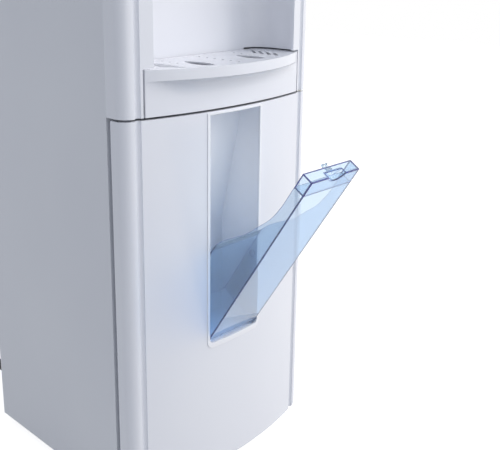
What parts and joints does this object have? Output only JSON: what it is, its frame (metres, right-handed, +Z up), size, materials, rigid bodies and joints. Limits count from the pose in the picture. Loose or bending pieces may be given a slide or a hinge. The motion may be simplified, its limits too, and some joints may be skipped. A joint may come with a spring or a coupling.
{
  "type": "bottom load water cooler",
  "caption": "Tall floor-standing bottom load water cooler with a bowed front, drip tray in an alcove, bottle door and a clear blue tilt-out bin in the door.",
  "frame": {"origin": "on the floor, at the middle of the bounding box with the bin open", "axes": "+Z up, +Y to the rear, +X to the right of a person facing the cooler"},
  "size_m": [0.36, 0.5692, 1.0625],
  "materials": {
    "white_abs": "moulded ABS, glossy white with a faint cool tint",
    "liner_plastic": "moulded liner plastic, semi-gloss white",
    "pocket_plastic": "moulded plastic, satin blue-grey",
    "clear_blue": "clear light blue plastic, polished",
    "clip_blue": "clear light blue plastic",
    "bezel_white": "glossy white trim",
    "painted_steel": "powder coated steel, fine satin",
    "galvanised": "galvanised sheet steel",
    "stainless": "drawn stainless steel",
    "black_enamel": "black enamel",
    "copper": "drawn copper tube",
    "rubber_black": "moulded rubber",
    "gasket_grey": "extruded soft vinyl, light grey",
    "foam": "expanded polystyrene",
    "foam_grey": "closed cell foam",
    "silicone": "food grade silicone tube",
    "panel_grey": "moulded control panel, light grey satin",
    "key_red": "moulded key",
    "key_white": "moulded key",
    "key_blue": "moulded key",
    "lens": "clear lens",
    "board_green": "printed circuit board",
    "black_plastic": "moulded black plastic",
    "probe_plastic": "moulded food grade plastic",
    "zinc": "zinc plated steel",
    "acetal": "moulded acetal"
  },
  "bodies": {
    "cabinet": {"alcove_liner": "liner_plastic", "base_pan": "painted_steel", "bay_liner": "liner_plastic", "bottle_shelf": "liner_plastic", "cold_tank": "stainless", "compressor": "black_enamel", "compressor_grommets": "rubber_black", "condenser_coil": "black_enamel", "condenser_wires": "black_enamel", "control_board": "board_green", "control_panel": "panel_grey", "cord_gland": "black_plastic", "drain_plug": "white_abs", "evaporator_coil": "copper", "feet": "rubber_black", "filter_drier": "copper", "hinge_brackets": "zinc", "hot_tank": "stainless", "hot_tank_jacket": "foam_grey", "indicator_lenses": "lens", "left_side_panel": "painted_steel", "mid_deck": "galvanised", "nozzles": "probe_plastic", "probe_collar": "probe_plastic", "probe_hook": "liner_plastic", "probe_hose": "silicone", "probe_tube": "probe_plastic", "rear_panel": "galvanised", "rear_screws": "zinc", "reed_switch": "black_plastic", "refrigerant_lines": "copper", "right_side_panel": "painted_steel", "solenoid_valves": "black_plastic", "switch_bezel": "black_plastic", "tank_insulation": "foam", "tank_shelf": "galvanised", "top_cover": "white_abs", "upper_fascia": "white_abs", "wall_spacers": "black_plastic", "water_lines": "silicone", "water_pump": "black_plastic"},
    "door": {"door_panel": "white_abs", "hinge_bushes": "acetal", "door_liner": "liner_plastic", "door_gasket": "gasket_grey", "window_bezel": "bezel_white", "bin_pocket": "pocket_plastic", "bin_catch": "bezel_white", "door_magnet": "black_plastic"},
    "bin": {"tilt_bin": "clear_blue", "bin_latch_clip": "clip_blue"},
    "tray": {"drip_tray": "white_abs"},
    "grille": {"drip_grille": "white_abs"},
    "hot_key": {"hot_button": "key_red"},
    "room_key": {"room_button": "key_white"},
    "cold_key": {"cold_button": "key_blue"},
    "lock_slider": {"child_lock": "key_red"},
    "hot_switch": {"hot_rocker": "key_red"},
    "cold_switch": {"cold_rocker": "key_blue"}
  },
  "joints": [
    {"name": "door_hinge", "type": "hinge", "parent": "cabinet", "child": "door", "pos_m": [0.166, -0.08005, 0.03], "axis": [0, 0, 1], "range_deg": [0, 110]},
    {"name": "bin_tilt", "type": "hinge", "parent": "door", "child": "bin", "pos_m": [0, -0.10406, 0.2408], "axis": [1, 0, 0], "range_deg": [-32.9, 0]},
    {"name": "tray_slide", "type": "slide", "parent": "cabinet", "child": "tray", "axis": [0, -1, 0], "range_m": [0, 0.12]},
    {"name": "grille_lift", "type": "slide", "parent": "tray", "child": "grille", "axis": [0, 0, 1], "range_m": [0, 0.06]},
    {"name": "hot_press", "type": "slide", "parent": "cabinet", "child": "hot_key", "axis": [0, 1, 0], "range_m": [0, 0.004], "stiffness_N_per_m": 350, "springref_m": -0.003},
    {"name": "room_press", "type": "slide", "parent": "cabinet", "child": "room_key", "axis": [0, 1, 0], "range_m": [0, 0.004], "stiffness_N_per_m": 350, "springref_m": -0.003},
    {"name": "cold_press", "type": "slide", "parent": "cabinet", "child": "cold_key", "axis": [0, 1, 0], "range_m": [0, 0.004], "stiffness_N_per_m": 350, "springref_m": -0.003},
    {"name": "lock_slide", "type": "slide", "parent": "cabinet", "child": "lock_slider", "axis": [1, 0, 0], "range_m": [0, 0.008]},
    {"name": "hot_switch_rock", "type": "hinge", "parent": "cabinet", "child": "hot_switch", "pos_m": [-0.118, 0.25464, 0.9325], "axis": [1, 0, 0], "range_deg": [-18, 0]},
    {"name": "cold_switch_rock", "type": "hinge", "parent": "cabinet", "child": "cold_switch", "pos_m": [-0.092, 0.25464, 0.9325], "axis": [1, 0, 0], "range_deg": [-18, 0]}
  ]
}
